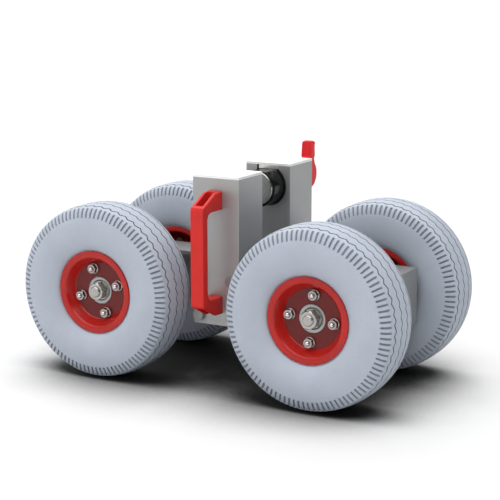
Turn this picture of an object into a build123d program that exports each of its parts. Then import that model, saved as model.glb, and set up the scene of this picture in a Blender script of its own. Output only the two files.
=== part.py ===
from build123d import *

import math
import os

# Four-wheel clamping dolly for carrying panels: beam chassis, fixed jaw, cam-operated clamp.
# Millimetres, +Z up, +X along the direction of travel, -Y towards the side with the carry handle.
# Lengths along Y are counted from the plane midway between the two rows of wheels and are
# moved by -Y_MID on export, so that the origin is under the middle of the whole dolly.

# Wheels: 260 x 85 puncture-proof tyres on split steel rims
WHEEL_R = 130.0
TYRE_HALF = 42.0
WHEEL_X = 176.0
WHEEL_Y = 115.0
BEAD_R = 54.0
SHEET = 2.5
FLANGE_R = 61.8
FLANGE_OUT = 32.4
DISC_OUT = 16.0
STEP_R = 44.0
HUB_R = 20.5
HUB_BORE_R = 15.0
HUB_INNER = 20.0
HUB_OUTER = 16.5
BOLT_CIRCLE_R = 34.0
RIM_BOLT_R = 4.0
BUSH_LEN = 14.0

# Axles and their sleeves
AXLE_R = 10.0
AXLE_END_R = 8.0
BUSH_CLEAR = 0.05
SHOULDER_OUT = 13.3
SLEEVE_R = 14.0
AXLE_NUT_AF = 24.0
AXLE_NUT_H = 13.0
AXLE_TIP = 31.5

# Chassis beam: folded channel, open towards the handle side
BEAM_HALF_LEN = 248.5
BEAM_BOTTOM = 88.5
BEAM_TOP = 172.8
BEAM_FRONT = 3.0
BEAM_BACK = 66.0
BEAM_T = 6.0
AXLE_Z = WHEEL_R

# Uprights: square tube posts with cap plates
POST_HALF = 38.0
FRONT_POST_Y0 = -91.0
FRONT_POST_Y1 = -21.0
REAR_POST_Y0 = 66.0
REAR_POST_Y1 = 139.5
POST_BOTTOM = 90.0
POST_TOP = 305.5
POST_WALL = 5.0
POST_EDGE_R = 0.8
BORE_EDGE = 0.7
CAP_T = 3.8
FLOOR_PAD_T = 4.0
SEAT_DEPTH = 0.5

# Tie bolts through the posts, the spacer and the beam
TIE_X = 27.0
TIE_Z = (103.8, 158.0)
TIE_R = 5.0
TIE_AF = 17.0
TIE_PLATE_T = 12.0

# Clamp: plunger, pressure disc, bushes, return spring
CLAMP_Z = 274.0
BORE_R = 30.5
PLUNGER_R = 28.5
PLUNGER_FLAT_Z = 299.0
GUIDE_FIT = 0.06
DISC_FACE_Y = 30.0
DISC_T = 4.0
DISC_R = 25.5
PLUNGER_BACK = 98.0
STEM_R = 10.0
STEM_HEAD_R = 13.0
STEM_HEAD_T = 4.0
STEM_END_Y = 151.7
SPRING_SEAT_Y = 122.0
SPRING_TURNS = 6
SPRING_WIRE_R = 0.9
SPRING_R = 12.2
NOTCH_HALF = 19.0
NOTCH_BOTTOM = 298.0

# Cam lever
PIVOT_Y = 178.0
PIVOT_R = 5.0
CAM_REST = 26.0
CAM_TRAVEL = 15.0
CAM_SWING = math.pi / 2
CAM_RATE = CAM_TRAVEL / CAM_SWING
LEVER_HALF = 7.5
THUMB_BASE_HALF = 9.2
THUMB_TOP_HALF = 8.3
LEVER_TOP = 328.0
CHEEK_IN = 8.0
CHEEK_OUT = 12.0

# Carry handle
HANDLE_Z = 198.0
HANDLE_HALF_W = 11.0
HANDLE_FRONT = -144.0
HANDLE_BACK = -131.0
SCREW_HALF_PITCH = 76.5
SCREW_R = 3.0
SCREW_HEAD_R = 5.0
SLOT_HALF_W = 5.8
SEAT_Y = -101.0

Y_MID = 30.0

WHEELS = {
    "fl": (-WHEEL_X, -WHEEL_Y, -1.0, 18.0),
    "fr": (WHEEL_X, -WHEEL_Y, -1.0, -5.5),
    "rl": (-WHEEL_X, WHEEL_Y, 1.0, 31.0),
    "rr": (WHEEL_X, WHEEL_Y, 1.0, 52.0),
}

ALONG_Y = Plane(origin=(0, 0, 0), x_dir=(1, 0, 0), z_dir=(0, 1, 0))


def solids_of(shape):
    """Every solid in a shape, a list or a compound."""
    if isinstance(shape, (list, tuple)):
        return [solid for item in shape for solid in solids_of(item)]
    return list(shape.solids())


def emit(node, shape):
    """Write one node, moved so that the origin is under the middle of the dolly."""
    moved = [Location((0, -Y_MID, 0)) * solid for solid in solids_of(shape)]
    whole = moved[0] if len(moved) == 1 else Compound(moved)
    whole.label = node
    export_step(whole, f"parts/{node}.step")


def rod_y(radius, y0, y1, x=0.0, z=0.0):
    """Round bar along Y from y0 to y1."""
    bar = extrude(ALONG_Y * Circle(radius), y1 - y0)
    return Location((x, y0, z)) * bar


def rod_x(radius, x0, x1, y=0.0, z=0.0):
    """Round bar along X from x0 to x1."""
    bar = extrude(Plane.YZ * Circle(radius), x1 - x0)
    return Location((x0, y, z)) * bar


def hex_y(across_flats, y0, y1, x=0.0, z=0.0, turn=0.0):
    """Hexagonal bar along Y with its outer corners chamfered at both ends."""
    corner = across_flats / math.sqrt(3)
    bar = extrude(ALONG_Y * RegularPolygon(corner, 6), y1 - y0)
    bar = Location((0, 0, 0), (0, turn, 0)) * bar
    bar = Location((x, y0, z)) * bar
    crown = revolve_y([
        (0.0, y0),
        (corner * 0.93, y0),
        (corner * 1.02, y0 + corner * 0.06),
        (corner * 1.02, y1 - corner * 0.06),
        (corner * 0.93, y1),
        (0.0, y1),
    ])
    return bar & (Location((x, 0, z)) * crown)


def box(x0, x1, y0, y1, z0, z1):
    """Box between two opposite corners."""
    block = Box(x1 - x0, y1 - y0, z1 - z0)
    return Location(((x0 + x1) / 2, (y0 + y1) / 2, (z0 + z1) / 2)) * block


def revolve_y(points):
    """Solid turned about the Y axis from (radius, y) points joined by straight lines."""
    face = make_face(Polyline([(r, y, 0) for r, y in points], close=True))
    return revolve(face, Axis.Y)


def profile_yz(points, x0, x1):
    """Prism along X from a closed list of (y, z) points."""
    face = make_face(Polyline([(x0, y, z) for y, z in points], close=True))
    return extrude(face, x1 - x0, dir=(1, 0, 0))


def at_wheel(shape, x, y, side):
    """Carry a shape from the wheel's own frame, outer side at +Y, to a wheel position."""
    turned = shape if side > 0 else Location((0, 0, 0), (0, 0, 180)) * shape
    return Location((x, y, AXLE_Z)) * turned


def bolt_spots(phase, side):
    """Centres of the rim bolts in the wheel's own frame, so that they match the phase."""
    spots = []
    for quarter in range(4):
        angle = math.radians(phase + 90.0 * quarter)
        spots.append((side * BOLT_CIRCLE_R * math.cos(angle), BOLT_CIRCLE_R * math.sin(angle)))
    return spots


def make_tyre():
    """Foam-filled tyre: plain turned section with a rounded shoulder."""
    outer = Spline(
        (FLANGE_R + 1.0, FLANGE_OUT - 2.7),
        (74.0, 38.6),
        (94.0, TYRE_HALF),
        (111.0, 40.8),
        (121.5, 37.2),
        (126.0, 32.6),
        (128.9, 22.0),
        (WHEEL_R, 0.0),
        (128.9, -22.0),
        (126.0, -32.6),
        (121.5, -37.2),
        (111.0, -40.8),
        (94.0, -TYRE_HALF),
        (74.0, -38.6),
        (FLANGE_R + 1.0, -FLANGE_OUT + 2.7),
    )
    inner = Polyline(
        (FLANGE_R + 1.0, -FLANGE_OUT + 2.7),
        (BEAD_R, -FLANGE_OUT + 2.7),
        (BEAD_R, FLANGE_OUT - 2.7),
        (FLANGE_R + 1.0, FLANGE_OUT - 2.7),
    )
    return revolve(make_face(Curve() + [outer, inner]), Axis.Y)


def make_outer_rim(spots):
    """Shallow rim half: flange, sloping well and the disc that carries the nuts."""
    back = DISC_OUT - SHEET
    lip = FLANGE_OUT - 2.5
    shell = revolve_y([
        (HUB_R, back),
        (BEAD_R, back),
        (BEAD_R, lip),
        (FLANGE_R, lip),
        (FLANGE_R, FLANGE_OUT - 0.6),
        (FLANGE_R - 0.6, FLANGE_OUT),
        (BEAD_R + 0.8, FLANGE_OUT),
        (BEAD_R - 1.4, FLANGE_OUT - 1.0),
        (BEAD_R - SHEET, FLANGE_OUT - 3.0),
        (STEP_R + 4.0, DISC_OUT + 4.0),
        (STEP_R, DISC_OUT),
        (HUB_R, DISC_OUT),
    ])
    for x, z in spots:
        shell -= rod_y(RIM_BOLT_R + 0.1, back - 1, DISC_OUT + 1, x, z)
    return shell


def make_inner_rim(spots):
    """Deep rim half: flange, cylindrical well and the disc clamped behind the outer one."""
    front = DISC_OUT - SHEET
    lip = -(FLANGE_OUT - 2.5)
    shell = revolve_y([
        (HUB_R, front - SHEET),
        (BEAD_R - SHEET - 3.0, front - SHEET),
        (BEAD_R - SHEET, front - SHEET - 3.0),
        (BEAD_R - SHEET, -FLANGE_OUT + 3.0),
        (BEAD_R - 1.4, -FLANGE_OUT + 1.0),
        (BEAD_R + 0.8, -FLANGE_OUT),
        (FLANGE_R - 0.6, -FLANGE_OUT),
        (FLANGE_R, -FLANGE_OUT + 0.6),
        (FLANGE_R, lip),
        (BEAD_R, lip),
        (BEAD_R, front),
        (HUB_R, front),
    ])
    for x, z in spots:
        shell -= rod_y(RIM_BOLT_R + 0.1, front - SHEET - 1, front + 1, x, z)
    return shell


def make_hub():
    """Hub tube with chamfered mouths."""
    return revolve_y([
        (HUB_BORE_R, -HUB_INNER + 1.0),
        (HUB_BORE_R + 1.0, -HUB_INNER),
        (HUB_R - 1.0, -HUB_INNER),
        (HUB_R, -HUB_INNER + 1.0),
        (HUB_R, HUB_OUTER - 1.2),
        (HUB_R - 1.2, HUB_OUTER),
        (HUB_BORE_R + 1.0, HUB_OUTER),
        (HUB_BORE_R, HUB_OUTER - 1.0),
    ])


def make_bushes():
    """Two plain bearing bushes pressed into the ends of the hub."""
    bushes = []
    for y0 in (SHOULDER_OUT - 0.5 - BUSH_LEN, -HUB_INNER + 0.5):
        ring = rod_y(HUB_BORE_R, y0, y0 + BUSH_LEN) - rod_y(AXLE_R + BUSH_CLEAR, y0 - 1, y0 + BUSH_LEN + 1)
        bushes.append(ring)
    return bushes


def make_rim_bolts(spots):
    """Hex bolts from the inner side, their rounded tips standing out past the nuts."""
    seat = DISC_OUT - 2 * SHEET
    tip = DISC_OUT + 12.0
    bolts = []
    for x, z in spots:
        shank = revolve_y([
            (0.0, seat),
            (RIM_BOLT_R, seat),
            (RIM_BOLT_R, tip - 3.2),
            (3.4, tip - 1.4),
            (2.2, tip - 0.4),
            (0.0, tip),
        ])
        head = hex_y(13.0, seat - 5.3, seat, x, z)
        bolts.append(head + Location((x, 0, z)) * shank)
    return bolts


def make_rim_nuts(spots):
    """Flanged nuts on the outer disc."""
    nuts = []
    for x, z in spots:
        flange = rod_y(8.0, DISC_OUT, DISC_OUT + 1.6, x, z)
        body = hex_y(13.0, DISC_OUT + 1.0, DISC_OUT + 7.4, x, z)
        hole = rod_y(RIM_BOLT_R, DISC_OUT - 1, DISC_OUT + 9, x, z)
        nuts.append(flange + body - hole)
    return nuts


def make_wheel(tag):
    """All the pieces that turn with one wheel."""
    x, y, side, phase = WHEELS[tag]
    spots = bolt_spots(phase, side)
    pieces = {
        "tyre": make_tyre(),
        "rim_outer": make_outer_rim(spots),
        "rim_inner": make_inner_rim(spots),
        "hub": make_hub(),
        "bushes": make_bushes(),
        "rim_bolts": make_rim_bolts(spots),
        "rim_nuts": make_rim_nuts(spots),
    }
    for piece, shape in pieces.items():
        placed = [at_wheel(solid, x, y, side) for solid in solids_of(shape)]
        emit(f"wheel_{tag}_{piece}", placed)


def make_axle(x):
    """Through axle with a shoulder and a threaded end at each wheel."""
    half = WHEEL_Y + AXLE_TIP
    shoulder = WHEEL_Y + SHOULDER_OUT
    bar = revolve_y([
        (0.0, -half),
        (AXLE_END_R - 1.2, -half),
        (AXLE_END_R, -half + 1.2),
        (AXLE_END_R, -shoulder),
        (AXLE_R, -shoulder),
        (AXLE_R, shoulder),
        (AXLE_END_R, shoulder),
        (AXLE_END_R, half - 1.2),
        (AXLE_END_R - 1.2, half),
        (0.0, half),
    ])
    return Location((x, 0, AXLE_Z)) * bar


def make_sleeve(x):
    """Sleeve welded through the beam, holding the axle and spacing both hubs."""
    half = WHEEL_Y - HUB_INNER - 0.4
    tube = rod_y(SLEEVE_R, -half, half, x, AXLE_Z)
    return tube - rod_y(AXLE_R, -half - 1, half + 1, x, AXLE_Z)


def at_each_axle_end(maker):
    """The same piece at all four wheels."""
    return [at_wheel(maker(), x, y, side) for x, y, side, _ in WHEELS.values()]


def axle_washer():
    """Thrust washer between the axle's shoulder and the nut."""
    ring = rod_y(14.4, SHOULDER_OUT, SHOULDER_OUT + 2.2)
    return ring - rod_y(AXLE_END_R, 0, 40)


def axle_nut():
    """Hex nut on the axle's threaded end."""
    y0 = SHOULDER_OUT + 2.2
    body = hex_y(AXLE_NUT_AF, y0, y0 + AXLE_NUT_H, turn=12.0)
    return body - rod_y(AXLE_END_R, 0, 40)


def tie_spots():
    """Centres of the four tie bolts."""
    return [(x, z) for z in TIE_Z for x in (-TIE_X, TIE_X)]


def drill_ties(shape, y0, y1):
    """Clearance holes for the tie bolts."""
    for x, z in tie_spots():
        shape -= rod_y(TIE_R + 0.1, y0, y1, x, z)
    return shape


def make_beam():
    """Channel beam with holes for the sleeves and the tie bolts."""
    outside = box(-BEAM_HALF_LEN, BEAM_HALF_LEN, BEAM_FRONT, BEAM_BACK, BEAM_BOTTOM, BEAM_TOP)
    back_edges = outside.edges().filter_by(Axis.X).group_by(Axis.Y)[-1]
    outside = fillet(back_edges, 4.0)
    inside = box(
        -BEAM_HALF_LEN - 1,
        BEAM_HALF_LEN + 1,
        BEAM_FRONT - 1,
        BEAM_BACK - BEAM_T,
        BEAM_BOTTOM + BEAM_T,
        BEAM_TOP - BEAM_T,
    )
    beam = outside - inside
    for x in (-WHEEL_X, WHEEL_X):
        beam -= rod_y(SLEEVE_R, BEAM_FRONT, BEAM_BACK + 1, x, AXLE_Z)
    return drill_ties(beam, BEAM_FRONT, BEAM_BACK + 1)


def make_end_plate(side):
    """Plate that closes one end of the channel."""
    x0 = BEAM_HALF_LEN - 5.0
    plate = box(
        x0,
        BEAM_HALF_LEN,
        BEAM_FRONT,
        BEAM_BACK - BEAM_T,
        BEAM_BOTTOM + BEAM_T,
        BEAM_TOP - BEAM_T,
    )
    return plate if side > 0 else mirror(plate, Plane.YZ)


def make_spacer():
    """Packing block that ties the front post to the beam's web and carries the panel."""
    outer = box(-POST_HALF, POST_HALF, FRONT_POST_Y1 - SEAT_DEPTH, BEAM_FRONT, BEAM_BOTTOM, BEAM_TOP)
    tongue = box(
        -POST_HALF,
        POST_HALF,
        BEAM_FRONT,
        BEAM_BACK - BEAM_T,
        BEAM_BOTTOM + BEAM_T,
        BEAM_TOP - BEAM_T,
    )
    return drill_ties(outer + tongue, FRONT_POST_Y1 - 1, BEAM_BACK)


def make_post(y0, y1):
    """Square tube post with a closed foot."""
    tube = box(-POST_HALF, POST_HALF, y0, y1, POST_BOTTOM, POST_TOP)
    tube = fillet(tube.edges().filter_by(Axis.Z), POST_EDGE_R)
    hollow = box(
        -POST_HALF + POST_WALL,
        POST_HALF - POST_WALL,
        y0 + POST_WALL,
        y1 - POST_WALL,
        POST_BOTTOM + 4.0,
        POST_TOP + 1,
    )
    return tube - hollow


def make_front_post():
    """Front post: fixed jaw above a shallow seat for the spacer, tie bolt holes and tapped holes for the handle."""
    post = drill_ties(make_post(FRONT_POST_Y0, FRONT_POST_Y1), FRONT_POST_Y0 - 1, FRONT_POST_Y1 + 1)
    post -= box(
        -POST_HALF - 1,
        POST_HALF + 1,
        FRONT_POST_Y1 - SEAT_DEPTH,
        FRONT_POST_Y1 + 1,
        POST_BOTTOM - 1,
        BEAM_TOP + FLOOR_PAD_T,
    )
    for z in (HANDLE_Z - SCREW_HALF_PITCH, HANDLE_Z + SCREW_HALF_PITCH):
        post -= rod_y(SCREW_R, FRONT_POST_Y0 - 1, FRONT_POST_Y0 + POST_WALL + 1, 0, z)
    return post


def make_rear_post():
    """Rear post: plunger bore with a key notch in front, stem bush hole behind."""
    post = drill_ties(make_post(REAR_POST_Y0, REAR_POST_Y1), REAR_POST_Y0 - 1, REAR_POST_Y0 + POST_WALL + 1)
    post -= rod_y(BORE_R, REAR_POST_Y0 - 1, REAR_POST_Y0 + POST_WALL + 1, 0, CLAMP_Z)
    lead_in = revolve_y([
        (0.0, REAR_POST_Y0 - 1.0),
        (BORE_R + BORE_EDGE + 1.0, REAR_POST_Y0 - 1.0),
        (BORE_R, REAR_POST_Y0 + BORE_EDGE),
        (0.0, REAR_POST_Y0 + BORE_EDGE),
    ])
    post -= Location((0, 0, CLAMP_Z)) * lead_in
    post -= box(
        -NOTCH_HALF,
        NOTCH_HALF,
        REAR_POST_Y0 - 1,
        REAR_POST_Y0 + POST_WALL + 1,
        NOTCH_BOTTOM,
        POST_TOP + 1,
    )
    post -= rod_y(22.0, REAR_POST_Y1 - POST_WALL - 1, REAR_POST_Y1 + 1, 0, CLAMP_Z)
    for x, z in bracket_screw_spots():
        post -= rod_y(2.5, REAR_POST_Y1 - POST_WALL - 1, REAR_POST_Y1 + 1, x, z)
    return post


def make_cap(y0, y1):
    """Cap plate with a bevelled rim."""
    plate = box(-POST_HALF, POST_HALF, y0, y1, POST_TOP, POST_TOP + CAP_T)
    plate = fillet(plate.edges().filter_by(Axis.Z), POST_EDGE_R)
    return chamfer(plate.faces().sort_by(Axis.Z)[-1].edges(), 0.6)


def make_tie_bolts():
    """Long hex bolts from the front post's face into the rear post."""
    bolts = []
    for x, z in tie_spots():
        head = hex_y(TIE_AF, FRONT_POST_Y0 - 7.5, FRONT_POST_Y0, x, z)
        shank = rod_y(TIE_R, FRONT_POST_Y0, REAR_POST_Y0 + POST_WALL + TIE_PLATE_T + 3.0, x, z)
        bolts.append(head + shank)
    return bolts


def make_tie_plate():
    """Backing plate inside the rear post, tapped for the tie bolts."""
    y0 = REAR_POST_Y0 + POST_WALL
    inner = POST_HALF - POST_WALL
    plate = box(-inner, inner, y0, y0 + TIE_PLATE_T, POST_BOTTOM + 4.0, BEAM_TOP)
    for x, z in tie_spots():
        plate -= rod_y(TIE_R, y0 - 1, y0 + TIE_PLATE_T + 1, x, z)
    return plate


def make_handle():
    """Bow handle with slanted ends, each with a slot down to its screw."""
    half = [
        (FRONT_POST_Y0, 90.0),
        (-109.0, 89.0),
        (HANDLE_FRONT + 1.5, 72.0),
        (HANDLE_FRONT, 68.5),
    ]
    inner = [
        (HANDLE_BACK, 54.0),
        (HANDLE_BACK + 2.5, 60.0),
        (HANDLE_BACK + 9.0, 63.0),
        (FRONT_POST_Y0, 63.0),
    ]
    up = [(y, HANDLE_Z + h) for y, h in half]
    down = [(y, HANDLE_Z - h) for y, h in reversed(half)]
    inner_down = [(y, HANDLE_Z - h) for y, h in reversed(inner)]
    inner_up = [(y, HANDLE_Z + h) for y, h in inner]
    body = profile_yz(up + down + inner_down + inner_up, -HANDLE_HALF_W, HANDLE_HALF_W)
    rim = [e for e in body.edges() if e.center().Y < FRONT_POST_Y0 - 0.5 and abs(e.center().X) > 10.9]
    body = chamfer(rim, 1.2)
    for sign in (-1.0, 1.0):
        z = HANDLE_Z + sign * SCREW_HALF_PITCH
        slot = box(-SLOT_HALF_W, SLOT_HALF_W, HANDLE_FRONT + 7.0, SEAT_Y, z - 7.0, z + 7.0)
        slot += box(
            -SLOT_HALF_W,
            SLOT_HALF_W,
            HANDLE_FRONT + 10.0,
            SEAT_Y,
            min(z, z + sign * 40.0),
            max(z, z + sign * 40.0),
        )
        body -= slot
        body -= rod_y(SCREW_R + 0.2, SEAT_Y - 1, FRONT_POST_Y0 + 1, 0, z)
    return body


def make_handle_screws():
    """Socket head screws through the handle's feet."""
    screws = []
    for sign in (-1.0, 1.0):
        z = HANDLE_Z + sign * SCREW_HALF_PITCH
        head = rod_y(SCREW_HEAD_R, SEAT_Y - 6.0, SEAT_Y, 0, z)
        head = chamfer(head.edges().sort_by(Axis.Y)[0], 0.6)
        shank = rod_y(SCREW_R, SEAT_Y, FRONT_POST_Y0 + POST_WALL + 4.0, 0, z)
        socket = extrude(ALONG_Y * RegularPolygon(2.9, 6), 3.2)
        screws.append(head + shank - Location((0, SEAT_Y - 6.0, z)) * socket)
    return screws


def make_front_bush():
    """Bush in the front wall of the rear post that guides the plunger."""
    y0 = REAR_POST_Y0 + 2.0
    y1 = REAR_POST_Y0 + 26.0
    ring = rod_y(BORE_R, y0, y1, 0, CLAMP_Z) - rod_y(PLUNGER_R + GUIDE_FIT, y0 - 1, y1 + 1, 0, CLAMP_Z)
    return ring - box(-40, 40, y0 - 1, y1 + 1, PLUNGER_FLAT_Z - 2.0, CLAMP_Z + 40)


def make_guide_bar():
    """Key bar over the plunger's flat that stops it from turning."""
    z0 = PLUNGER_FLAT_Z + 0.4
    return box(-NOTCH_HALF + 1.5, NOTCH_HALF - 1.5, REAR_POST_Y0 + 2.5, REAR_POST_Y1 - POST_WALL, z0, POST_TOP)


def make_plunger():
    """Plunger, stem and stem head in one piece, tapped at the front for the disc's screw."""
    body = rod_y(PLUNGER_R, DISC_FACE_Y + DISC_T, PLUNGER_BACK, 0, CLAMP_Z)
    body = chamfer(body.edges().filter_by(GeomType.CIRCLE), 1.0)
    body -= box(-40, 40, 0, 140, PLUNGER_FLAT_Z, CLAMP_Z + 40)
    stem = rod_y(STEM_R, PLUNGER_BACK, STEM_END_Y, 0, CLAMP_Z)
    head = rod_y(STEM_HEAD_R, STEM_END_Y - STEM_HEAD_T, STEM_END_Y, 0, CLAMP_Z)
    hole = rod_y(3.0, DISC_FACE_Y, DISC_FACE_Y + DISC_T + 14.0, 0, CLAMP_Z)
    return body + stem + head - hole


def make_disc():
    """Pressure disc with turned rings on its face."""
    y0 = DISC_FACE_Y
    y1 = DISC_FACE_Y + DISC_T
    disc = revolve_y([
        (3.2, y0 + 3.0),
        (6.2, y0),
        (16.0, y0),
        (16.4, y0 + 0.8),
        (17.6, y0 + 0.8),
        (18.0, y0),
        (DISC_R - 1.0, y0),
        (DISC_R, y0 + 1.0),
        (DISC_R, y1),
        (3.2, y1),
    ])
    return Location((0, 0, CLAMP_Z)) * disc


def make_disc_screw():
    """Countersunk screw that holds the pressure disc."""
    y0 = DISC_FACE_Y
    screw = revolve_y([
        (0.0, y0 + 0.2),
        (6.0, y0 + 0.2),
        (3.0, y0 + 3.2),
        (3.0, y0 + DISC_T + 12.0),
        (0.0, y0 + DISC_T + 12.0),
    ])
    socket = extrude(ALONG_Y * RegularPolygon(2.3, 6), 2.4)
    return Location((0, 0, CLAMP_Z)) * (screw - Location((0, y0, 0)) * socket)


def make_rear_bush():
    """Cup-shaped bush in the rear wall: guides the stem and seats the spring."""
    wall = REAR_POST_Y1
    cup = rod_y(22.0, SPRING_SEAT_Y - 5.0, wall, 0, CLAMP_Z)
    cup -= rod_y(15.6, SPRING_SEAT_Y, wall + 1, 0, CLAMP_Z)
    return cup - rod_y(STEM_R + BUSH_CLEAR, SPRING_SEAT_Y - 6, wall + 1, 0, CLAMP_Z)


def make_spring():
    """Return spring round the stem, between the bush and the stem's head."""
    y0 = SPRING_SEAT_Y + SPRING_WIRE_R + 0.05
    y1 = STEM_END_Y - STEM_HEAD_T - SPRING_WIRE_R - 0.05
    path = Helix(pitch=(y1 - y0) / SPRING_TURNS, height=y1 - y0, radius=SPRING_R)
    start = Plane(origin=path @ 0, z_dir=path % 0)
    coil = sweep(start * Circle(SPRING_WIRE_R), path=path, is_frenet=True)
    return Location((0, y0, CLAMP_Z)) * (Location((0, 0, 0), (-90, 0, 0)) * coil)


def bracket_screw_spots():
    """Centres of the screws that hold the lever bracket."""
    return [(x, z) for z in (CLAMP_Z - 26.0, CLAMP_Z + 22.0) for x in (-19.0, 19.0)]


def make_bracket():
    """Clevis on the rear wall: base plate and two cheeks round the lever and the stem's head."""
    y0 = REAR_POST_Y1
    base = box(-25, 25, y0, y0 + 4.0, CLAMP_Z - 32.0, CLAMP_Z + 28.0)
    for x, z in bracket_screw_spots():
        base -= rod_y(2.6, y0 - 1, y0 + 5, x, z)
    cheek_outline = [
        (y0, -24.0),
        (y0, 24.0),
        (y0 + 14.0, 19.0),
        (PIVOT_Y - 9.0, 17.0),
        (PIVOT_Y + 5.0, 9.2),
        (PIVOT_Y + 5.0, -9.2),
        (PIVOT_Y - 9.0, -17.0),
        (y0 + 14.0, -19.0),
    ]
    outline = [(y, CLAMP_Z + z) for y, z in cheek_outline]
    bracket = base
    for x0 in (-CHEEK_OUT, CHEEK_IN):
        x1 = x0 + CHEEK_OUT - CHEEK_IN
        bracket += profile_yz(outline, x0, x1) + rod_x(10.5, x0, x1, PIVOT_Y, CLAMP_Z)
    bracket -= rod_y(STEM_HEAD_R + 0.6, y0 - 1, STEM_END_Y + CAM_TRAVEL + 0.8, 0, CLAMP_Z)
    return bracket - rod_x(PIVOT_R, -20, 20, PIVOT_Y, CLAMP_Z)


def make_bracket_screws():
    """Pan head screws of the lever bracket."""
    screws = []
    y0 = REAR_POST_Y1 + 4.0
    for x, z in bracket_screw_spots():
        head = fillet(rod_y(4.5, y0, y0 + 3.2, x, z).edges().sort_by(Axis.Y)[-1], 1.2)
        screws.append(head + rod_y(2.5, REAR_POST_Y1 - POST_WALL - 3.0, y0, x, z))
    return screws


def make_pivot_pin():
    """Pin through both cheeks, with a groove for a clip at each end."""
    pin = rod_x(PIVOT_R, -14.2, 14.2, PIVOT_Y, CLAMP_Z)
    for x0 in (-13.1, 12.1):
        pin -= rod_x(PIVOT_R + 1, x0, x0 + 1.0, PIVOT_Y, CLAMP_Z) - rod_x(4.0, x0 - 1, x0 + 2, PIVOT_Y, CLAMP_Z)
    return pin


def make_pin_clips():
    """Retaining clips in the pin's grooves."""
    clips = []
    for x0 in (-13.05, 12.15):
        ring = rod_x(7.5, x0, x0 + 0.9, PIVOT_Y, CLAMP_Z) - rod_x(4.0, x0 - 1, x0 + 2, PIVOT_Y, CLAMP_Z)
        gap = box(x0 - 1, x0 + 2, PIVOT_Y - 2.2, PIVOT_Y + 2.2, CLAMP_Z - 9, CLAMP_Z)
        clips.append(ring - gap)
    return clips


def cam_outline():
    """Cam flank as (y, z): equal lift for equal swing against the stem's flat end."""
    points = []
    steps = 24
    for index in range(steps + 1):
        swing = CAM_SWING * 1.06 * index / steps - 0.03 * CAM_SWING
        beta = math.pi + swing
        lift = CAM_REST - CAM_RATE * swing
        y = lift * math.cos(beta) + CAM_RATE * math.sin(beta)
        z = lift * math.sin(beta) - CAM_RATE * math.cos(beta)
        points.append((PIVOT_Y + y, CLAMP_Z + z))
    return points


def make_lever():
    """Short cam lever: cam lobe, rounded knuckle and upright thumb bar."""
    flank = cam_outline()
    rest = [
        (PIVOT_Y + 13.0, flank[-1][1]),
        (PIVOT_Y + 30.0, CLAMP_Z + 10.0),
        (PIVOT_Y + 18.0, CLAMP_Z + 30.0),
        (PIVOT_Y - 2.0, CLAMP_Z + 16.0),
        (flank[0][0] + 2.0, CLAMP_Z + 14.0),
    ]
    body = profile_yz(flank + rest, -LEVER_HALF, LEVER_HALF)
    knuckle = rod_x(21.5, -LEVER_HALF, LEVER_HALF, PIVOT_Y + 17.5, CLAMP_Z + 1.0)
    knuckle -= box(-20, 20, PIVOT_Y - 40, PIVOT_Y + 13.0, CLAMP_Z - 60, flank[-1][1])
    body += knuckle
    bar = profile_yz(
        [
            (PIVOT_Y + 17.5, CLAMP_Z + 10.0),
            (PIVOT_Y + 34.0, CLAMP_Z + 12.0),
            (PIVOT_Y + 28.5, CLAMP_Z + 27.0),
            (PIVOT_Y + 29.0, LEVER_TOP - 10.0),
            (PIVOT_Y + 31.0, LEVER_TOP - 4.0),
            (PIVOT_Y + 29.0, LEVER_TOP - 1.0),
            (PIVOT_Y + 25.5, LEVER_TOP),
            (PIVOT_Y + 18.2, LEVER_TOP),
            (PIVOT_Y + 17.0, LEVER_TOP - 1.4),
            (PIVOT_Y + 16.5, CLAMP_Z + 30.0),
        ],
        -THUMB_BASE_HALF,
        THUMB_BASE_HALF,
    )
    outline = [
        (LEVER_HALF, CLAMP_Z + 8.0),
        (LEVER_HALF, CLAMP_Z + 25.0),
        (THUMB_BASE_HALF, CLAMP_Z + 29.0),
        (THUMB_TOP_HALF, LEVER_TOP - 4.0),
        (THUMB_TOP_HALF - 1.0, LEVER_TOP - 1.4),
        (THUMB_TOP_HALF - 3.6, LEVER_TOP),
    ]
    front = [(x, z) for x, z in outline] + [(-x, z) for x, z in reversed(outline)]
    face = make_face(Polyline([(x, PIVOT_Y, z) for x, z in front], close=True))
    body += bar & extrude(face, 60.0, dir=(0, 1, 0))
    return body - rod_x(PIVOT_R + BUSH_CLEAR, -20, 20, PIVOT_Y, CLAMP_Z)


def make_floor_pad():
    """Rubber strip that the panel stands on."""
    return box(-POST_HALF, POST_HALF, FRONT_POST_Y1, BEAM_BACK - 8.0, BEAM_TOP, BEAM_TOP + FLOOR_PAD_T)


os.makedirs("parts", exist_ok=True)

for wheel in WHEELS:
    make_wheel(wheel)

for name, side_x in (("left", -WHEEL_X), ("right", WHEEL_X)):
    emit(f"axle_{name}", make_axle(side_x))
    emit(f"axle_sleeve_{name}", make_sleeve(side_x))
    emit(f"beam_end_plate_{name}", make_end_plate(side_x))

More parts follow.
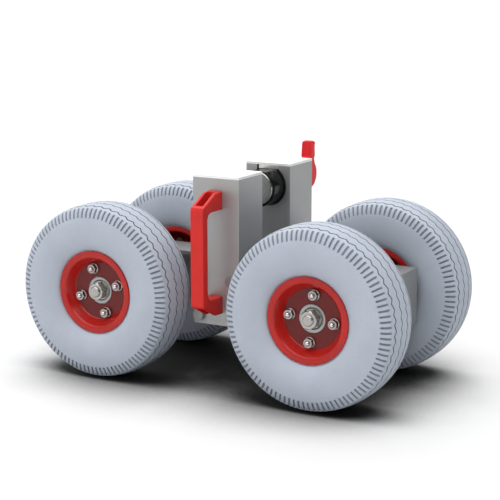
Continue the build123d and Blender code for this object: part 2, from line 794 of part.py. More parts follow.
emit("axle_washers", at_each_axle_end(axle_washer))
emit("axle_nuts", at_each_axle_end(axle_nut))
emit("chassis_beam", make_beam())
emit("spacer_block", make_spacer())
emit("slot_floor_pad", make_floor_pad())
emit("front_post", make_front_post())
emit("front_cap", make_cap(FRONT_POST_Y0, FRONT_POST_Y1))
emit("rear_post", make_rear_post())
emit("rear_cap", make_cap(REAR_POST_Y0, REAR_POST_Y1))
emit("tie_bolts", make_tie_bolts())
emit("tie_plate", make_tie_plate())
emit("carry_handle", make_handle())
emit("handle_screws", make_handle_screws())
emit("plunger_bush", make_front_bush())
emit("guide_bar", make_guide_bar())
emit("plunger", make_plunger())
emit("pressure_disc", make_disc())
emit("disc_screw", make_disc_screw())
emit("stem_bush", make_rear_bush())
emit("return_spring", make_spring())
emit("lever_bracket", make_bracket())
emit("bracket_screws", make_bracket_screws())
emit("pivot_pin", make_pivot_pin())
emit("pin_clips", make_pin_clips())
emit("cam_lever", make_lever())
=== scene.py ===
import math

import bmesh
import bpy
from mathutils import Matrix, Vector


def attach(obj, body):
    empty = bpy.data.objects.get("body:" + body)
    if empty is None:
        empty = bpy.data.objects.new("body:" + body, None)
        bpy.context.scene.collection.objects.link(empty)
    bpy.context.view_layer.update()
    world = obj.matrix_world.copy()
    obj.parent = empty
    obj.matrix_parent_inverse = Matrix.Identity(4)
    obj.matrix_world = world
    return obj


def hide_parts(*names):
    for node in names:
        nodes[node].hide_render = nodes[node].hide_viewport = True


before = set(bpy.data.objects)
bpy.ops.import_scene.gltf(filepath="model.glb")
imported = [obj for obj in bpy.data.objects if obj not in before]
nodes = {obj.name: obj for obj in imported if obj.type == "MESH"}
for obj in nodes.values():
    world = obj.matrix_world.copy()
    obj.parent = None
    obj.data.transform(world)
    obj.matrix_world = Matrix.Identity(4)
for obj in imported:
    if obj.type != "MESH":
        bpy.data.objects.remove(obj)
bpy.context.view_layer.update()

MM = 0.001
Y_MID = 30.0
WHEEL_X = 176.0
WHEEL_Y = 115.0
AXLE_Z = 130.0
CLAMP_Z = 274.0
WHEELS = {
    "fl": (-WHEEL_X, -WHEEL_Y, -1.0, 18.0),
    "fr": (WHEEL_X, -WHEEL_Y, -1.0, -5.5),
    "rl": (-WHEEL_X, WHEEL_Y, 1.0, 31.0),
    "rr": (WHEEL_X, WHEEL_Y, 1.0, 52.0),
}


# ---------------------------------------------------------------- materials

def new_material(name):
    """An empty node material with a Principled shader and an output."""
    mat = bpy.data.materials.new(name)
    mat.use_nodes = True
    mat.node_tree.nodes.clear()
    tree = mat.node_tree
    shader = tree.nodes.new("ShaderNodeBsdfPrincipled")
    out = tree.nodes.new("ShaderNodeOutputMaterial")
    tree.links.new(shader.outputs["BSDF"], out.inputs["Surface"])
    return mat, tree, shader


def noise(tree, scale, detail=4.0, stretch=(1.0, 1.0, 1.0), rough=0.55):
    """Noise over the object's own coordinates, stretched along an axis for brushed grain."""
    coords = tree.nodes.new("ShaderNodeTexCoord")
    mapping = tree.nodes.new("ShaderNodeMapping")
    mapping.inputs["Scale"].default_value = stretch
    tex = tree.nodes.new("ShaderNodeTexNoise")
    tex.inputs["Scale"].default_value = scale
    tex.inputs["Detail"].default_value = detail
    tex.inputs["Roughness"].default_value = rough
    tree.links.new(coords.outputs["Object"], mapping.inputs["Vector"])
    tree.links.new(mapping.outputs["Vector"], tex.inputs["Vector"])
    return tex.outputs["Fac"]


def ramp(tree, source, stops):
    """Colour ramp from (position, colour) stops."""
    node = tree.nodes.new("ShaderNodeValToRGB")
    node.color_ramp.elements[0].position = stops[0][0]
    node.color_ramp.elements[0].color = stops[0][1]
    node.color_ramp.elements[1].position = stops[-1][0]
    node.color_ramp.elements[1].color = stops[-1][1]
    for position, colour in stops[1:-1]:
        node.color_ramp.elements.new(position).color = colour
    tree.links.new(source, node.inputs["Fac"])
    return node.outputs["Color"]


def spread(tree, source, low, high):
    """Maps a 0..1 value to low..high."""
    node = tree.nodes.new("ShaderNodeMapRange")
    node.inputs["From Min"].default_value = 0.3
    node.inputs["From Max"].default_value = 0.7
    node.inputs["To Min"].default_value = low
    node.inputs["To Max"].default_value = high
    tree.links.new(source, node.inputs["Value"])
    return node.outputs["Result"]


def mix(tree, factor, first, second):
    """Colour mix of two colours or sockets."""
    node = tree.nodes.new("ShaderNodeMix")
    node.data_type = "RGBA"
    tree.links.new(factor, node.inputs["Factor"])
    for socket, value in ((node.inputs["A"], first), (node.inputs["B"], second)):
        if isinstance(value, tuple):
            socket.default_value = value
        else:
            tree.links.new(value, socket)
    return node.outputs["Result"]


def bump(tree, shader, source, strength, distance):
    """Bump from a height source."""
    node = tree.nodes.new("ShaderNodeBump")
    node.inputs["Strength"].default_value = strength
    node.inputs["Distance"].default_value = distance
    tree.links.new(source, node.inputs["Height"])
    tree.links.new(node.outputs["Normal"], shader.inputs["Normal"])


def edge_wear(tree, low, high):
    """Near 1 on convex edges and 0 on flats."""
    geometry = tree.nodes.new("ShaderNodeNewGeometry")
    node = tree.nodes.new("ShaderNodeMapRange")
    node.inputs["From Min"].default_value = low
    node.inputs["From Max"].default_value = high
    tree.links.new(geometry.outputs["Pointiness"], node.inputs["Value"])
    return node.outputs["Result"]


def attribute(tree, name):
    """Value stored on the mesh's points."""
    node = tree.nodes.new("ShaderNodeAttribute")
    node.attribute_name = name
    return node.outputs["Fac"]


def grey(value):
    """Neutral colour."""
    return (value, value, value, 1.0)


def shade(colour, factor):
    """A colour made lighter or darker."""
    return (colour[0] * factor, colour[1] * factor, colour[2] * factor, 1.0)


def make_foam(name, colour):
    """Matt light grey foam tyre with fine mould texture, faint darker specks, and shade painted near-black
    into the tread grooves and shoulder notches.
    """
    mat, tree, shader = new_material(name)
    cloud = noise(tree, 18.0, 5.0)
    fine = noise(tree, 900.0, 3.0)
    tones = [(0.30, shade(colour, 0.93)), (0.55, shade(colour, 1.0)), (0.75, shade(colour, 1.05))]
    base = ramp(tree, cloud, tones)
    speck = ramp(tree, noise(tree, 420.0, 2.0), [(0.28, grey(1.0)), (0.36, grey(0.0))])
    base = mix(tree, speck, base, shade(colour, 0.86))
    # painted shade: groove bottoms and shoulder notches darkened towards near-black by the mesh's groove
    # value
    base = mix(tree, attribute(tree, "groove"), base, (0.022, 0.024, 0.028, 1.0))
    tree.links.new(base, shader.inputs["Base Color"])
    tree.links.new(spread(tree, cloud, 0.58, 0.74), shader.inputs["Roughness"])
    shader.inputs["Specular IOR Level"].default_value = 0.25
    bump(tree, shader, fine, 0.18, 0.0004)
    return mat


def make_paint(name, colour, rough, level=0.25, recess_shade=0.35):
    """Powder-coated or moulded colour with orange peel, lighter worn edges, and shade painted darker on the
    rim's inner disc.
    """
    mat, tree, shader = new_material(name)
    cloud = noise(tree, 30.0, 4.0)
    peel = noise(tree, 520.0, 2.0)
    base = ramp(tree, cloud, [(0.32, shade(colour, 0.88)), (0.68, shade(colour, 1.08))])
    worn = (min(1.0, colour[0] * 1.4), colour[1] * 2.0 + 0.01, colour[2] * 2.0 + 0.01, 1.0)
    base = mix(tree, edge_wear(tree, 0.53, 0.62), base, worn)
    # painted shade: the rim's inner disc darkened to a share of the colour
    base = mix(tree, attribute(tree, "recess_shade"), base, shade(colour, recess_shade))
    tree.links.new(base, shader.inputs["Base Color"])
    tree.links.new(spread(tree, cloud, rough * 0.85, rough * 1.2), shader.inputs["Roughness"])
    shader.inputs["Specular IOR Level"].default_value = level
    bump(tree, shader, peel, 0.10, 0.0003)
    return mat


def make_metal(name, colour, rough, stretch=(1.0, 1.0, 1.0), grain=220.0, depth=0.05, metallic=1.0):
    """Bare or plated metal with directional grain, smudges and brighter edges."""
    mat, tree, shader = new_material(name)
    lines = noise(tree, grain, 5.0, stretch)
    cloud = noise(tree, 14.0, 4.0)
    base = ramp(tree, lines, [(0.30, shade(colour, 0.93)), (0.70, shade(colour, 1.06))])
    base = mix(tree, spread(tree, cloud, 0.0, 0.35), base, shade(colour, 0.88))
    base = mix(tree, edge_wear(tree, 0.54, 0.64), base, shade(colour, 1.25))
    tree.links.new(base, shader.inputs["Base Color"])
    tree.links.new(spread(tree, lines, rough * 0.85, rough * 1.15), shader.inputs["Roughness"])
    shader.inputs["Metallic"].default_value = metallic
    bump(tree, shader, lines, depth, 0.0003)
    return mat


def make_black(name, value, rough, level=0.5):
    """Black plastic or rubber with a faint moulded texture."""
    mat, tree, shader = new_material(name)
    cloud = noise(tree, 40.0, 4.0)
    base = ramp(tree, cloud, [(0.3, grey(value * 0.8)), (0.7, grey(value * 1.4))])
    base = mix(tree, edge_wear(tree, 0.54, 0.66), base, grey(value * 3.0 + 0.01))
    tree.links.new(base, shader.inputs["Base Color"])
    tree.links.new(spread(tree, cloud, rough * 0.8, rough * 1.2), shader.inputs["Roughness"])
    shader.inputs["Specular IOR Level"].default_value = level
    bump(tree, shader, noise(tree, 700.0, 2.0), 0.08, 0.0003)
    return mat


FOAM = make_foam("foam_grey", (0.455, 0.500, 0.575, 1.0))
# last value: share of the colour left on the rim's inner disc, painted shade
RIM_RED = make_paint("rim_red", (0.46, 0.014, 0.010, 1.0), 0.20, 0.34, 0.30)
HANDLE_RED = make_paint("handle_red", (0.60, 0.018, 0.014, 1.0), 0.38)
LEVER_RED = make_paint("lever_red", (0.82, 0.022, 0.028, 1.0), 0.40, 0.20)
STEEL = make_metal(
    "satin_steel", (0.33, 0.335, 0.335, 1.0), 0.42, (1.0, 1.0, 0.06), 900.0, metallic=0.6
)
STEEL_X = make_metal(
    "satin_steel_along", (0.34, 0.345, 0.345, 1.0), 0.42, (0.06, 1.0, 1.0), 900.0, metallic=0.6
)
CAP_STEEL = make_metal("cap_steel", (0.85, 0.85, 0.85, 1.0), 0.34, (0.06, 1.0, 1.0), 900.0, metallic=0.3)
ZINC = make_metal("zinc_plate", (0.40, 0.39, 0.37, 1.0), 0.30, grain=320.0)
HUB_STEEL = make_metal("hub_steel", (0.36, 0.365, 0.36, 1.0), 0.30, grain=320.0)
NUT_STEEL = make_metal("nut_steel", (0.32, 0.31, 0.30, 1.0), 0.17, grain=120.0, depth=0.01)
TIE_STEEL = make_metal("tie_steel", (0.30, 0.30, 0.30, 1.0), 0.38, grain=120.0, metallic=0.6)
CHROME = make_metal("chrome", (0.72, 0.71, 0.70, 1.0), 0.12, grain=120.0, depth=0.01)
TURNED = make_metal("turned_steel", (0.62, 0.63, 0.60, 1.0), 0.24, grain=260.0)
BLACK = make_black("gloss_black", 0.004, 0.18, 0.15)
BUSH = make_black("bush_black", 0.012, 0.45, 0.2)
RUBBER = make_black("pad_rubber", 0.030, 0.75, 0.3)


# ---------------------------------------------------------------- mesh tools

def rounded(points, radius, steps=4):
    """A polyline with its inner corners rounded; a point may carry its own radius."""
    result = [Vector(points[0][:2])]
    for before, here, after in zip(points, points[1:], points[2:]):
        corner = Vector(here[:2])
        size = here[2] if len(here) > 2 else radius
        back = Vector(before[:2]) - corner
        ahead = Vector(after[:2]) - corner
        size = min(size, back.length * 0.48, ahead.length * 0.48)
        first = corner + back.normalized() * size
        last = corner + ahead.normalized() * size
        for step in range(steps + 1):
            t = step / steps
            result.append(first * (1 - t) ** 2 + corner * 2 * t * (1 - t) + last * t ** 2)
    result.append(Vector(points[-1][:2]))
    return result


def lathe(bm, profile, steps=96, closed=True, place=Matrix.Identity(4)):
    """Turns (radius, y) points about the Y axis into bm."""
    rings = []
    for r, y in profile:
        if r < 1e-6:
            rings.append([bm.verts.new(place @ Vector((0, y * MM, 0)))])
            continue
        ring = []
        for k in range(steps):
            a = math.tau * k / steps
            ring.append(bm.verts.new(place @ Vector((r * MM * math.cos(a), y * MM, r * MM * math.sin(a)))))
        rings.append(ring)
    pairs = list(zip(rings, rings[1:]))
    if closed:
        pairs.append((rings[-1], rings[0]))
    for one, two in pairs:
        for k in range(steps):
            n = (k + 1) % steps
            corners = [one[k % len(one)], one[n % len(one)], two[n % len(two)], two[k % len(two)]]
            unique = list(dict.fromkeys(corners))
            if len(unique) > 2:
                bm.faces.new(unique)


def hex_bar(bm, across, y0, y1, chamfer, place=Matrix.Identity(4), turn=0.0, bore=0.0):
    """Hex nut or head whose corners are cut by a cone at the outer end (y1)."""
    steps = 72
    crown = across / 2
    rings = []
    for y, top in ((y0, False), (y1 - chamfer, False), (y1, True)):
        ring = []
        for k in range(steps):
            a = math.tau * k / steps
            local = (a + math.pi / 6) % (math.pi / 3) - math.pi / 6
            r = crown / math.cos(local)
            if top:
                r = min(r, crown)
            level = y
            if not top and y > y0:
                level = y1 - chamfer * (r - crown) / (crown / math.cos(math.pi / 6) - crown)
            b = a + math.radians(turn)
            spot = Vector((r * math.cos(b), level, r * math.sin(b))) * MM
            ring.append(bm.verts.new(place @ spot))
        rings.append(ring)
    if bore > 0:
        for y in (y1, y0):
            ring = []
            for k in range(steps):
                b = math.tau * k / steps + math.radians(turn)
                spot = Vector((bore * math.cos(b), y, bore * math.sin(b))) * MM
                ring.append(bm.verts.new(place @ spot))
            rings.append(ring)
        pairs = list(zip(rings, rings[1:])) + [(rings[-1], rings[0])]
    else:
        bm.faces.new(rings[0])
        bm.faces.new(list(reversed(rings[-1])))
        pairs = list(zip(rings, rings[1:]))
    for one, two in pairs:
        for k in range(steps):
            n = (k + 1) % steps
            bm.faces.new([one[k], one[n], two[n], two[k]])


def finish_mesh(name, bm, material, sharp=35.0):
    """Object from bm, smooth except at edges sharper than the angle."""
    bmesh.ops.remove_doubles(bm, verts=bm.verts, dist=1e-7)
    bmesh.ops.recalc_face_normals(bm, faces=bm.faces)
    for face in bm.faces:
        face.smooth = True
    for edge in bm.edges:
        if len(edge.link_faces) == 2 and edge.calc_face_angle() > math.radians(sharp):
            edge.smooth = False
    mesh = bpy.data.meshes.new(name)
    bm.to_mesh(mesh)
    bm.free()
    mesh.materials.append(material)
    obj = bpy.data.objects.new(name, mesh)
    bpy.context.scene.collection.objects.link(obj)
    return obj


def wheel_matrix(x, y, side):
    """From the wheel's own frame, outer side at +Y, to its place on the dolly."""
    turn = Matrix.Identity(4) if side > 0 else Matrix.Rotation(math.pi, 4, "Z")
    return Matrix.Translation(Vector((x, y - Y_MID, AXLE_Z)) * MM) @ turn


# ---------------------------------------------------------------- tyre

GROOVES = 100
ZIGZAGS = 55
AROUND = 1100


# Tread rows as (y of the row, zigzag reach, phase), and across each groove (offset, sink, painted groove
# shade).
TREAD_ROWS = [(26.0, 1.7, 0.5), (9.0, 1.6, 0.0), (-9.0, 1.6, 0.5), (-26.0, 1.7, 0.0)]
GROOVE_LINES = [
    (1.5, 0.0, 0.0), (0.85, 0.0, 0.55), (0.6, 1.9, 1.0),
    (-0.6, 1.9, 1.0), (-0.85, 0.0, 0.55), (-1.5, 0.0, 0.0),
]
NOTCH_DEPTH = 2.3
NOTCH_WIDTH = 4
# painted shade in the shoulder notches, as a share of near-black
NOTCH_SHADE = 0.42


def zigzag(k, phase):
    """Slightly lopsided zigzag, -1 to 1, round the tread."""
    t = (k * ZIGZAGS / AROUND + phase) % 1.0
    rise = 0.42
    value = -1 + 2 * t / rise if t < rise else 1 - 2 * (t - rise) / (1 - rise)
    return max(-0.92, min(0.92, value)) / 0.92


def crown_radius(y):
    """Radius of the tread surface."""
    return 129.95 - 0.001026 * y * y - 2.576e-6 * y ** 4


def tyre_lines():
    """Rings of the tyre from the outer bead round the tread to the inner one.

    Each is (radius, y, zigzag reach, zigzag phase, sink, notch share, painted groove shade).
    """
    side = [
        (54.4, 29.6), (62.9, 29.6), (63.0, 30.3), (64.6, 32.9), (67.6, 35.4), (71.6, 37.7), (77.0, 39.6),
        (83.5, 41.0), (90.5, 41.8), (97.5, 41.9), (104.0, 41.6), (109.5, 40.9),
    ]
    lines = [(r, y, 0.0, 0.0, 0.0, 0.0, 0.0) for r, y in side]
    notch = [
        (111.9, 40.5, 0.0), (112.6, 40.35, 0.5), (113.6, 40.1, 1.0), (116.5, 39.2, 1.0), (120.0, 37.8, 1.0),
        (123.0, 36.0, 1.0), (125.0, 34.2, 1.0), (125.7, 33.3, 0.75), (126.1, 32.6, 0.0),
    ]
    lines += [(r, y, 0.0, 0.0, 0.0, d, 0.0) for r, y, d in notch]
    lines.append((crown_radius(31.6), 31.6, 0.0, 0.0, 0.0, 0.0, 0.0))
    for index, (centre, reach, phase) in enumerate(TREAD_ROWS):
        for offset, sink, groove_shade in GROOVE_LINES:
            y = centre + offset
            lines.append((crown_radius(y), y, reach, phase, sink, 0.0, groove_shade))
        if index < 3:
            y = centre - 8.5
            lines.append((crown_radius(y), y, 0.0, 0.0, 0.0, 0.0, 0.0))
    lines.append((crown_radius(31.6), -31.6, 0.0, 0.0, 0.0, 0.0, 0.0))
    lines += [(r, -y, 0.0, 0.0, 0.0, d, 0.0) for r, y, d in reversed(notch)]
    lines += [(r, -y, 0.0, 0.0, 0.0, 0.0, 0.0) for r, y in reversed(side)]
    return lines


def tyre_mesh():
    """Foam tyre with zigzag tread grooves and short grooves round both shoulders."""
    lines = tyre_lines()
    count = len(lines)
    normals = []
    for index in range(count):
        before = lines[index - 1]
        after = lines[(index + 1) % count]
        tangent = Vector((after[0] - before[0], after[1] - before[1])).normalized()
        normals.append(Vector((tangent.y, -tangent.x)))
    per_groove = AROUND // GROOVES
    verts = []
    dark = []
    for k in range(AROUND):
        a = math.tau * k / AROUND
        for index, (r, y, reach, phase, sink, notch, groove_shade) in enumerate(lines):
            if reach:
                y = y + reach * zigzag(k, phase)
                r = crown_radius(y) - sink
            cut = notch if k % per_groove < NOTCH_WIDTH else 0.0
            dark.append(max(groove_shade, NOTCH_SHADE * cut))
            if cut:
                depth = NOTCH_DEPTH * cut
                inward = normals[index] if normals[index].x < 0 else -normals[index]
                r += inward.x * depth
                y += inward.y * depth
            verts.append((r * MM * math.cos(a), y * MM, r * MM * math.sin(a)))
    faces = []
    for k in range(AROUND):
        n = (k + 1) % AROUND
        for index in range(count):
            j = (index + 1) % count
            faces.append((k * count + index, n * count + index, n * count + j, k * count + j))
    mesh = bpy.data.meshes.new("tyre_foam")
    mesh.from_pydata(verts, [], faces)
    bm = bmesh.new()
    bm.from_mesh(mesh)
    bmesh.ops.recalc_face_normals(bm, faces=bm.faces)
    for face in bm.faces:
        face.smooth = True
    for edge in bm.edges:
        if edge.calc_face_angle(0.0) > math.radians(38):
            edge.smooth = False
    bm.to_mesh(mesh)
    bm.free()
    mesh.materials.append(FOAM)
    # groove value: painted shade for the tread grooves and shoulder notches
    mesh.attributes.new("groove", "FLOAT", "POINT").data.foreach_set("value", dark)
    return mesh


# ---------------------------------------------------------------- wheels

def rim_outer_profile():
    """Shallow rim half as it is pressed, closed section."""
    front = rounded([
        (20.8, 16.0), (42.6, 16.0, 1.0), (44.4, 18.0, 1.0), (50.0, 28.0, 1.0),
        (52.2, 31.6, 2.0), (58.0, 32.4, 3.0), (61.8, 32.2, 1.0), (61.8, 30.0),
    ], 1.0, 5)
    back = [(61.0, 29.9), (53.9, 29.9), (53.9, 13.6), (20.8, 13.6)]
    return [tuple(v) for v in front] + back


def rim_inner_profile():
    """Deep rim half, closed section."""
    front = rounded([
        (20.8, 11.0), (48.0, 11.0, 4.0), (51.4, 7.0, 4.0), (51.4, -27.0, 4.0),
        (53.4, -31.8, 3.0), (58.0, -32.4, 3.0), (61.8, -32.2, 1.0), (61.8, -30.0),
    ], 1.0, 5)
    back = [(61.0, -29.9), (53.9, -29.9), (53.9, 13.4), (20.8, 13.4)]
    return [tuple(v) for v in front] + back


def disc_shade_mask(point):
    """1 on the rim's flat disc, where shade is painted darker, 0 on its flange."""
    radius = math.hypot(point.x, point.z)
    return 1.0 if radius < 0.0432 else 0.0


HUB_PROFILE = [
    (15.0, -19.0), (15.8, -20.0), (19.6, -20.0), (20.5, -19.0), (20.5, 15.2), (20.1, 16.2), (19.3, 16.5),
    (16.2, 16.5), (15.4, 16.2), (15.0, 15.4),
]


def bolt_places(phase, side):
    """Matrices of the four rim bolts in the wheel's own frame."""
    places = []
    for quarter in range(4):
        a = math.radians(phase + 90.0 * quarter)
        spot = Vector((side * 34.0 * math.cos(a), 0.0, 34.0 * math.sin(a))) * MM
        places.append(Matrix.Translation(spot))
    return places


def tip_profile():
    """Rim bolt's shank and ball tip."""
    tip = [(4.0 * math.cos(a), 24.0 + 4.0 * math.sin(a)) for a in [math.pi / 2 * k / 10 for k in range(10)]]
    return [(0.0, 11.0), (4.0, 11.0), (4.0, 23.0)] + tip + [(0.0, 28.0)]


tyre_data = tyre_mesh()
for tag, (wx, wy, side, phase) in WHEELS.items():
    body = f"wheel_{tag}"
    place = wheel_matrix(wx, wy, side)

    tyre = bpy.data.objects.new(f"tyre_{tag}", tyre_data)
    bpy.context.scene.collection.objects.link(tyre)
    tyre.matrix_world = place
    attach(tyre, body)
    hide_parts(f"{body}_tyre")

    for half, profile in (("outer", rim_outer_profile()), ("inner", rim_inner_profile())):
        bm = bmesh.new()
        lathe(bm, profile, 144, True, place)
        rim = finish_mesh(f"rim_{half}_{tag}", bm, RIM_RED, 50)
        # painted shade mask: 1 on the rim's inner disc
        low = [disc_shade_mask(place.inverted() @ vert.co) for vert in rim.data.vertices]
        rim.data.attributes.new("recess_shade", "FLOAT", "POINT").data.foreach_set("value", low)
        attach(rim, body)
        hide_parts(f"{body}_rim_{half}")

    bm = bmesh.new()
    lathe(bm, HUB_PROFILE, 96, True, place)
    hub = finish_mesh(f"hub_{tag}", bm, HUB_STEEL)
    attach(hub, body)
    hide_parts(f"{body}_hub")

    bm = bmesh.new()
    for spot in bolt_places(phase, side):
        lathe(bm, tip_profile(), 32, False, place @ spot)
        hex_bar(bm, 13.0, -11.0, -5.7, 1.0, place @ spot @ Matrix.Rotation(math.pi, 4, "Z"), 9.0)
    bolts = finish_mesh(f"rim_bolts_{tag}", bm, CHROME)
    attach(bolts, body)
    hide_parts(f"{body}_rim_bolts")

    bm = bmesh.new()
    for index, spot in enumerate(bolt_places(phase, side)):
        flange = [(4.1, 16.0), (7.4, 16.0), (8.0, 16.5), (8.0, 17.2), (7.2, 17.8), (4.1, 18.0)]
        lathe(bm, flange, 40, True, place @ spot)
        hex_bar(bm, 13.0, 17.0, 23.4, 1.2, place @ spot, 17.0 * index, 4.1)
    nuts = finish_mesh(f"rim_nuts_{tag}", bm, NUT_STEEL)
    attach(nuts, body)
    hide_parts(f"{body}_rim_nuts")

bm = bmesh.new()
washers = bmesh.new()
for wx, wy, side, phase in WHEELS.values():
    place = wheel_matrix(wx, wy, side)
    hex_bar(bm, 24.0, 15.5, 28.5, 2.0, place, 12.0, 8.05)
    ring = [(8.05, 13.3), (13.9, 13.3), (14.4, 13.8), (14.4, 15.0), (13.9, 15.5), (8.05, 15.5)]
    lathe(washers, ring, 72, True, place)
for name, mesh_data, stand_in in (
    ("axle_hex_nuts", bm, "axle_nuts"),
    ("axle_ring_washers", washers, "axle_washers"),
):
    piece = finish_mesh(name, mesh_data, ZINC)
    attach(piece, "chassis")
    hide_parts(stand_in)


# ---------------------------------------------------------------- clamp

def clamp_piece(name, profile, material, body, stand_in):
    """Turned piece on the clamp's axis; y counted from the plane midway between the wheels."""
    bm = bmesh.new()
    place = Matrix.Translation(Vector((0.0, -Y_MID, CLAMP_Z)) * MM)
    lathe(bm, profile, 128, True, place)
    piece = finish_mesh(name, bm, material)
    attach(piece, body)
    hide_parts(stand_in)
    return piece


disc_rings = [
    (3.2, 33.0), (6.1, 30.15), (6.6, 30.0), (10.8, 30.0), (11.0, 30.3), (11.4, 30.3),
    (11.6, 30.0), (15.8, 30.0), (16.2, 30.8), (17.6, 30.8), (18.0, 30.0), (24.4, 30.0),
    (25.2, 30.3), (25.5, 31.0), (25.5, 34.0), (3.2, 34.0),
]
clamp_piece("clamp_disc", disc_rings, TURNED, "plunger", "pressure_disc")


TIE_FACE = -91.0
TIE_END = 86.0
TIE_SPOTS = ((-27.0, 103.8), (27.0, 103.8), (-27.0, 158.0), (27.0, 158.0))
TIE_REACH = TIE_FACE - TIE_END
bm = bmesh.new()
for index, (tx, tz) in enumerate(TIE_SPOTS):
    outward = Matrix.Rotation(math.pi, 4, "Z")
    place = Matrix.Translation(Vector((tx, TIE_FACE - Y_MID, tz)) * MM) @ outward
    lathe(bm, [(0.0, 0.0), (9.3, 0.0), (9.6, 0.3), (9.6, 1.2), (9.1, 1.8), (0.0, 1.8)], 48, False, place)
    hex_bar(bm, 16.0, 1.2, 7.3, 1.8, place, 13.0 * index)
    lathe(bm, [(0.0, TIE_REACH), (5.0, TIE_REACH), (5.0, 0.4), (0.0, 0.4)], 32, False, place)
ties = finish_mesh("tie_hex_bolts", bm, TIE_STEEL, 25)
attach(ties, "chassis")
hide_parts("tie_bolts")


# ---------------------------------------------------------------- CAD nodes that stay

KEPT = {
    "chassis_beam": (STEEL_X, 0.8),
    "beam_end_plate_left": (STEEL, 0.4),
    "beam_end_plate_right": (STEEL, 0.4),
    "spacer_block": (STEEL_X, 0.0),
    "front_post": (STEEL, 0.0),
    "rear_post": (STEEL, 0.0),
    "front_cap": (CAP_STEEL, 0.4),
    "rear_cap": (CAP_STEEL, 0.4),
    "slot_floor_pad": (RUBBER, 0.6),
    "axle_left": (ZINC, 0.0),
    "axle_right": (ZINC, 0.0),
    "axle_sleeve_left": (STEEL, 0.0),
    "axle_sleeve_right": (STEEL, 0.0),
    "tie_plate": (ZINC, 0.0),
    "carry_handle": (HANDLE_RED, 1.0),
    "handle_screws": (ZINC, 0.0),
    "plunger": (BLACK, 0.0),
    "plunger_bush": (BUSH, 0.0),
    "guide_bar": (TURNED, 0.4),
    "disc_screw": (ZINC, 0.0),
    "stem_bush": (BUSH, 0.0),
    "return_spring": (CHROME, 0.0),
    "lever_bracket": (STEEL, 0.0),
    "bracket_screws": (ZINC, 0.0),
    "pivot_pin": (ZINC, 0.0),
    "pin_clips": (CHROME, 0.0),
    "cam_lever": (LEVER_RED, 0.8),
}
for tag in WHEELS:
    KEPT[f"wheel_{tag}_bushes"] = (BUSH, 0.0)

for name, (material, width) in KEPT.items():
    node = nodes[name]
    node.data.materials.clear()
    node.data.materials.append(material)
    if width > 0:
        weld = node.modifiers.new("weld", "WELD")
        weld.merge_threshold = 0.00001
        soften = node.modifiers.new("bevel", "BEVEL")
        soften.width = width * MM
        soften.segments = 3
        soften.limit_method = "ANGLE"
        soften.angle_limit = math.radians(32)
        soften.harden_normals = True


# ---------------------------------------------------------------- floor, light, camera

TOP_SKY = 2.45
FRONT_SKY = 0.80
BACK_SKY = 1.35
DARK_SKY = 0.02


def make_floor():
    """Large pale floor, with contact shadow painted near-black where ambient occlusion finds the dolly
    close by.
    """
    mat, tree, shader = new_material("floor_pale")
    base = ramp(tree, noise(tree, 3.0, 3.0), [(0.3, grey(0.71)), (0.7, grey(0.73))])
    contact_shadow_ao = tree.nodes.new("ShaderNodeAmbientOcclusion")
    contact_shadow_ao.samples = 16
    contact_shadow_ao.inputs["Distance"].default_value = 0.26
    # painted contact shadow: floor colour goes near-black where the AO value is low
    depth = ramp(tree, contact_shadow_ao.outputs["AO"], [(0.40, grey(1.0)), (0.80, grey(0.0))])
    base = mix(tree, depth, base, grey(0.002))
    tree.links.new(base, shader.inputs["Base Color"])
    shader.inputs["Roughness"].default_value = 0.9
    mesh = bpy.data.meshes.new("floor")
    s = 30.0
    mesh.from_pydata([(-s, -s, 0), (s, -s, 0), (s, s, 0), (-s, s, 0)], [], [(0, 1, 2, 3)])
    mesh.materials.append(mat)
    obj = bpy.data.objects.new("floor", mesh)
    obj.location = (0, 0, -0.0003)
    bpy.context.scene.collection.objects.link(obj)


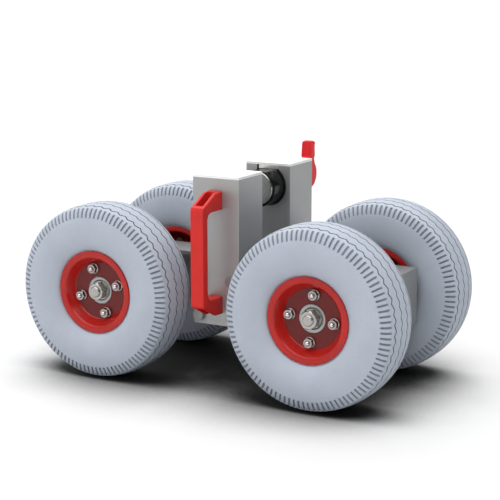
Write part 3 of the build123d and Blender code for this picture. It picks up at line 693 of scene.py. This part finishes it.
def toward(tree, source, direction, low, high):
    """0..1 as the direction looked in turns towards the given one."""
    dot = tree.nodes.new("ShaderNodeVectorMath")
    dot.operation = "DOT_PRODUCT"
    dot.inputs[1].default_value = direction
    tree.links.new(source, dot.inputs[0])
    node = tree.nodes.new("ShaderNodeMapRange")
    node.interpolation_type = "SMOOTHSTEP"
    node.inputs["From Min"].default_value = low
    node.inputs["From Max"].default_value = high
    tree.links.new(dot.outputs["Value"], node.inputs["Value"])
    return node.outputs["Result"]


def make_world():
    """Soft studio: bright overhead, bright low at the back left, dark at the right and behind."""
    world = bpy.data.worlds.new("studio")
    bpy.context.scene.world = world
    world.use_nodes = True
    tree = world.node_tree
    tree.nodes.clear()
    out = tree.nodes.new("ShaderNodeOutputWorld")
    coords = tree.nodes.new("ShaderNodeTexCoord")
    view = coords.outputs["Generated"]
    level = mix(tree, toward(tree, view, (-0.487, 0.873, 0.0), 0.5, 0.8), grey(FRONT_SKY), grey(BACK_SKY))
    level = mix(tree, toward(tree, view, (0.88, 0.47, 0.0), 0.0, 0.4), level, grey(DARK_SKY))
    level = mix(tree, toward(tree, view, (0.0, 0.0, 1.0), 0.58, 0.84), level, grey(TOP_SKY))
    soft = tree.nodes.new("ShaderNodeBackground")
    tree.links.new(level, soft.inputs["Color"])
    plain = tree.nodes.new("ShaderNodeBackground")
    plain.inputs["Color"].default_value = grey(1.0)
    plain.inputs["Strength"].default_value = 1.05
    path = tree.nodes.new("ShaderNodeLightPath")
    choose = tree.nodes.new("ShaderNodeMixShader")
    tree.links.new(path.outputs["Is Camera Ray"], choose.inputs["Fac"])
    tree.links.new(soft.outputs["Background"], choose.inputs[1])
    tree.links.new(plain.outputs["Background"], choose.inputs[2])
    tree.links.new(choose.outputs["Shader"], out.inputs["Surface"])


def make_camera():
    """Camera at the photograph's viewing angle."""
    data = bpy.data.cameras.new("camera")
    data.lens = 102.57
    data.sensor_width = 36.0
    data.clip_start = 0.05
    data.clip_end = 200.0
    obj = bpy.data.objects.new("camera", data)
    obj.location = (1.0228, -1.8523, 0.6100)
    obj.rotation_euler = (math.radians(78.508), 0.0, math.radians(29.174))
    bpy.context.scene.collection.objects.link(obj)
    bpy.context.scene.camera = obj


make_floor()
make_world()
make_camera()
bpy.context.scene.view_settings.view_transform = "Standard"
